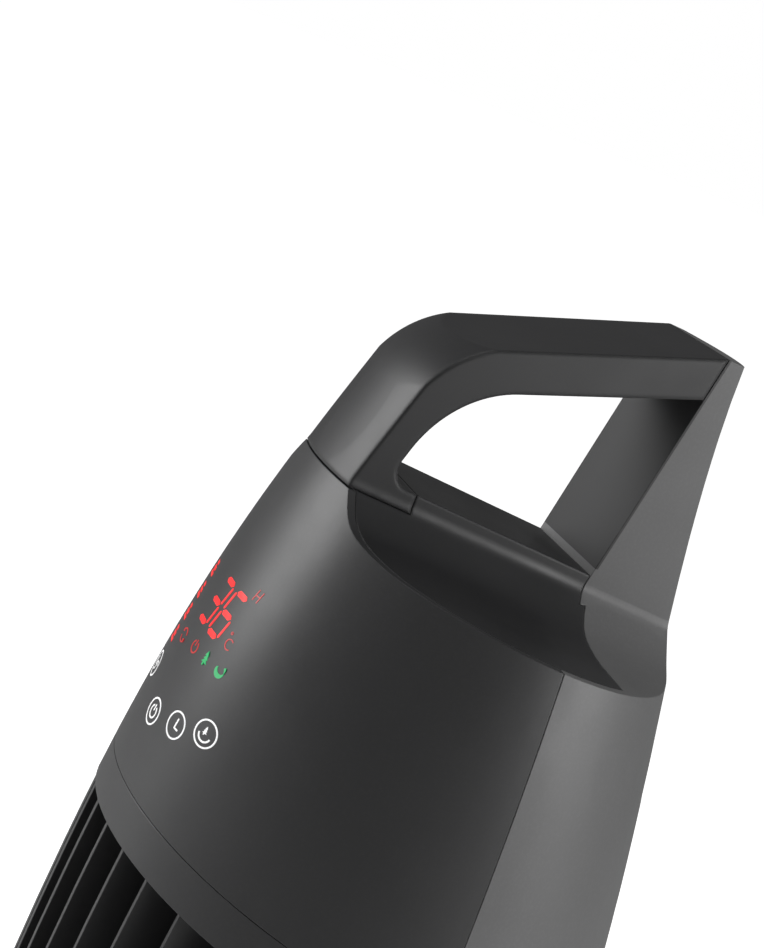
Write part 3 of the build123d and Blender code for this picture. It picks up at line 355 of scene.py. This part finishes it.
def lay_on_cap(name, faces, material):
    """Makes one piece of thin faces, given in millimetres, bent onto the cap's front."""
    mesh = bpy.data.meshes.new(name)
    work = bmesh.new()
    for face in faces:
        corners = [work.verts.new(on_cap(p[0] / 1000, p[1] / 1000)) for p in face]
        work.faces.new(corners)
    bmesh.ops.remove_doubles(work, verts=work.verts, dist=1e-6)
    bmesh.ops.recalc_face_normals(work, faces=work.faces)
    if work.faces and sum((f.normal.y for f in work.faces)) > 0:
        bmesh.ops.reverse_faces(work, faces=work.faces)
    work.to_mesh(mesh)
    work.free()
    mesh.materials.append(material)
    piece = bpy.data.objects.new(name, mesh)
    bpy.context.collection.objects.link(piece)
    body = piece.modifiers.new("thickness", "SOLIDIFY")
    body.thickness = MARK_THICK
    body.offset = -1.0
    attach(piece, "tower")
    return piece


# Places on the cap: x across and z above the floor, in millimetres
DIGIT_HEIGHT = 15.5
DIGIT_WIDTH = 7.0
DIGIT_SLANT = 0.2
DIGIT_BAR = 2.0             # level segments are fat, upright ones thin
DIGIT_POST = 0.9
DIGITS_Z = 773.5
SEGMENT_GAP = 0.5           # between a corner and the end of a segment
SCALE_X = -21.0
SCALE_TOP = 776.7
GROUP_STEP = 8.4            # from one group of speed bars to the next
BAR_STEP = 2.0
BAR_HEIGHT = 1.2
ARROW_R = 2.3
MOON_STEPS = 24
KEY_R = 4.3
KEY_LINE = 0.55
KEYS = [(-34.0, 745.5), (-21.5, 739.2), (0.0, 732.7), (14.7, 736.7), (26.9, 741.8)]
SEGMENTS = {"3": "abgcd", "6": "afgecd"}


def digit(character, x):
    """One slanted seven-segment figure."""
    w, h = DIGIT_WIDTH / 2, DIGIT_HEIGHT / 2
    ends = {
        "a": ((-w, h), (w, h)), "b": ((w, h), (w, 0)), "c": ((w, 0), (w, -h)),
        "d": ((w, -h), (-w, -h)), "e": ((-w, -h), (-w, 0)), "f": ((-w, 0), (-w, h)),
        "g": ((-w, 0), (w, 0)),
    }
    faces = []
    for letter in SEGMENTS[character]:
        a, b = Vector(ends[letter][0]), Vector(ends[letter][1])
        along = (b - a).normalized()
        width = DIGIT_BAR if letter in "agd" else DIGIT_POST
        across = Vector((-along.y, along.x)) * width / 2
        inset, tip = along * SEGMENT_GAP, along * (SEGMENT_GAP + width / 2)
        outline = [a + inset, a + tip + across, b - tip + across,
                   b - inset, b - tip - across, a + tip - across]
        outline = [(x + p.x + DIGIT_SLANT * p.y, DIGITS_Z + p.y) for p in outline]
        faces += fan_of(outline)
    return faces


lay_on_cap("display_digits", digit("3", -1.5) + digit("6", 8.2), red_glow)


def small_letters():
    """A level mark and a temperature unit beside the figures."""
    faces = stroke([(15.2, 786.8), (14.4, 782.8)], 0.35) + stroke([(17.4, 786.8), (16.6, 782.8)], 0.35)
    faces += stroke([(14.8, 784.8), (17.0, 784.8)], 0.35)
    faces += stroke(circle(16.6, 767.6, 1.7, 50, 260), 0.38)
    faces += stroke(circle(15.2, 770.9, 0.4, count=16), 0.3, closed=True)
    return faces


lay_on_cap("display_unit", small_letters(), dim_glow)


def speed_scale():
    """Four groups of short bars that step down the side of the display."""
    faces = []
    for group in range(4):
        z = SCALE_TOP - GROUP_STEP * group
        for bar in range(3):
            half = 1.3 + 0.5 * bar
            level = z + BAR_STEP - BAR_STEP * bar
            faces += stroke([(SCALE_X - half, level), (SCALE_X + half, level)], BAR_HEIGHT)
    return faces


lay_on_cap("speed_bars", speed_scale(), red_glow)


def turning_arrows(x, z):
    """Two arcs that chase each other, each with an arrowhead."""
    faces = []
    for start in (20, 200):
        faces += stroke(circle(x, z, ARROW_R, start, 130), 0.5)
    for angle in (radians(150), radians(330)):
        tip = Vector((x + ARROW_R * cos(angle), z + ARROW_R * sin(angle)))
        along = Vector((-sin(angle), cos(angle)))
        out = Vector((cos(angle), sin(angle)))
        faces.append((tip + along * 1.0, tip + out * 0.8, tip - out * 0.8))
    return faces


def power_mark(x, z, r, width):
    """An open ring with an upright stroke in its gap."""
    ring = stroke(circle(x, z, r, 120, 300), width)
    return ring + stroke([(x, z + r * 1.2), (x, z + r * 0.15)], width)


lay_on_cap("swing_symbol", turning_arrows(-9.5, 756.3), dim_glow)
lay_on_cap("power_symbol", power_mark(2.2, 758.3, 2.0, 0.5), dim_glow)


def tree_mark(x, z, size):
    """A small fir: three tiers over a trunk."""
    faces = []
    for tier in range(3):
        top = z + size * (1.0 - 0.55 * tier)
        half = size * (0.38 + 0.17 * tier)
        faces.append(((x, top), (x + half, top - size * 0.75), (x - half, top - size * 0.75)))
    faces += stroke([(x, z - size * 0.8), (x, z - size * 1.2)], size * 0.25)
    return faces


def moon_mark(x, z, size):
    """A crescent, as strips between an outer and an inner arc."""
    outer = circle(x, z, size, 165, 250, MOON_STEPS)
    inner_r = size * 0.86
    inner = circle(x + size * 0.18, z + size * 0.56, inner_r, 184, 212, MOON_STEPS)
    return [(outer[i], outer[i + 1], inner[i + 1], inner[i]) for i in range(MOON_STEPS)]


lay_on_cap("nature_symbol", tree_mark(10.9, 759.4, 2.2), green_glow)
lay_on_cap("sleep_symbol", moon_mark(19.1, 759.4, 2.2), green_glow)


def key_marks():
    """Five ringed keys: swing, speed, power, timer and mode."""
    faces = []
    for x, z in KEYS:
        faces += stroke(circle(x, z, KEY_R, count=64), KEY_LINE, closed=True)
    swing, speed, power, timer, mode = KEYS
    faces += stroke([(swing[0] - 2.4, swing[1]), (swing[0] + 2.4, swing[1])], KEY_LINE)
    for side in (-1, 1):
        faces += stroke([(swing[0] + side * 1.3, swing[1] + 1.3), (swing[0] + side * 2.6, swing[1]),
                         (swing[0] + side * 1.3, swing[1] - 1.3)], 0.5)
    for blade in range(3):
        turn = 2 * pi * blade / 3
        middle = speed[0] + 1.2 * cos(turn), speed[1] + 1.2 * sin(turn)
        faces += stroke(circle(*middle, 1.2, 120 * blade, 200, 14), 0.45)
    faces += power_mark(power[0], power[1] - 0.1, 2.1, KEY_LINE)
    foot = timer[1] - 0.9
    faces += stroke([(timer[0], timer[1] + 2.3), (timer[0], foot), (timer[0] + 2.0, foot)], 0.6)
    faces += tree_mark(mode[0] - 0.4, mode[1] + 1.0, 1.3)
    faces += stroke(circle(mode[0], mode[1] - 0.2, 2.4, 190, 160, 20), 0.6)
    return faces


lay_on_cap("key_rings", key_marks(), white_ink_with_painted_glow)

# ---------------------------------------------------------------- studio
FLOOR_HALF = 30.0
FLOOR_LIFT = 0.92
STUDIO_LIGHT = 0.15


def seen_directly(n):
    """1 where the camera looks straight at the studio, 0 where the studio only lights the object."""
    return n.add("ShaderNodeLightPath").outputs["Is Camera Ray"]


def floor_look():
    """Pale floor that stays bright without throwing much light up at the object."""
    n = Nodes("floor_look")
    fleck = n.noise(3.0, 4.0)
    material = n.finish(n.mix(fleck, (0.86, 0.86, 0.86), (0.90, 0.90, 0.90)), n.remap(fleck, 0.6, 0.8),
                        n.bump(n.noise(120.0), 0.05, 0.001), Emission_Color=(1.0, 1.0, 1.0, 1.0))
    n.link(n.remap(seen_directly(n), 0.0, FLOOR_LIFT), n.shader.inputs["Emission Strength"])
    return material


def make_floor():
    work = bmesh.new()
    bmesh.ops.create_grid(work, x_segments=24, y_segments=24, size=FLOOR_HALF)
    mesh = bpy.data.meshes.new("floor")
    work.to_mesh(mesh)
    work.free()
    mesh.materials.append(floor_look())
    floor = bpy.data.objects.new("floor", mesh)
    bpy.context.collection.objects.link(floor)


def area_light(name, place, target, size, power):
    lamp = bpy.data.lights.new(name, "AREA")
    lamp.shape = "DISK"
    lamp.size = size
    lamp.energy = power
    obj = bpy.data.objects.new(name, lamp)
    obj.location = place
    aim = Vector(target) - Vector(place)
    obj.rotation_euler = aim.to_track_quat("-Z", "Y").to_euler()
    bpy.context.collection.objects.link(obj)


make_floor()
area_light("key_light", (-0.85, -1.85, 1.2), (0.0, 0.0, 0.75), 1.3, 40)
area_light("rear_light", (1.5, 1.7, 1.0), (0.0, 0.0, 0.70), 1.2, 24)
area_light("top_light", (0.2, -0.4, 2.6), (0.0, 0.0, 0.80), 1.0, 7)


def make_world():
    """White studio: bright where seen, softer as a light."""
    world = bpy.data.worlds.new("studio")
    world.use_nodes = True
    nodes, links = world.node_tree.nodes, world.node_tree.links
    seen = nodes.new("ShaderNodeLightPath")
    level = nodes.new("ShaderNodeMapRange")
    level.inputs["To Min"].default_value = STUDIO_LIGHT
    level.inputs["To Max"].default_value = 1.0
    links.new(seen.outputs["Is Camera Ray"], level.inputs["Value"])
    nodes["Background"].inputs["Color"].default_value = (1.0, 1.0, 1.0, 1.0)
    links.new(level.outputs[0], nodes["Background"].inputs["Strength"])
    bpy.context.scene.world = world


make_world()
bpy.context.scene.view_settings.view_transform = "Standard"

# ---------------------------------------------------------------- camera
CAMERA_PLACE = (0.4448, -0.2870, 0.9587)
CAMERA_AZIMUTH = 61.56
CAMERA_DOWN = 14.5
CAMERA_ROLL = 22.74
CAMERA_LENS = 63.05
SENSOR_WIDTH = 36.0
NEAREST = 0.01              # nothing closer than this is drawn


def make_camera():
    """Looks down at the handle from the front right, rolled clockwise."""
    a, e, roll = radians(CAMERA_AZIMUTH), radians(CAMERA_DOWN), radians(CAMERA_ROLL)
    level = Vector((cos(a), sin(a), 0.0))
    rise = Vector((-sin(e) * sin(a), sin(e) * cos(a), cos(e)))
    back = Vector((sin(a) * cos(e), -cos(a) * cos(e), sin(e)))
    right = cos(roll) * level + sin(roll) * rise
    up = cos(roll) * rise - sin(roll) * level
    turn = Matrix((right, up, back)).transposed().to_4x4()
    data = bpy.data.cameras.new("camera")
    data.sensor_width = SENSOR_WIDTH
    data.lens = CAMERA_LENS
    data.clip_start = NEAREST
    camera = bpy.data.objects.new("camera", data)
    camera.matrix_world = Matrix.Translation(CAMERA_PLACE) @ turn
    bpy.context.collection.objects.link(camera)
    bpy.context.scene.camera = camera


make_camera()
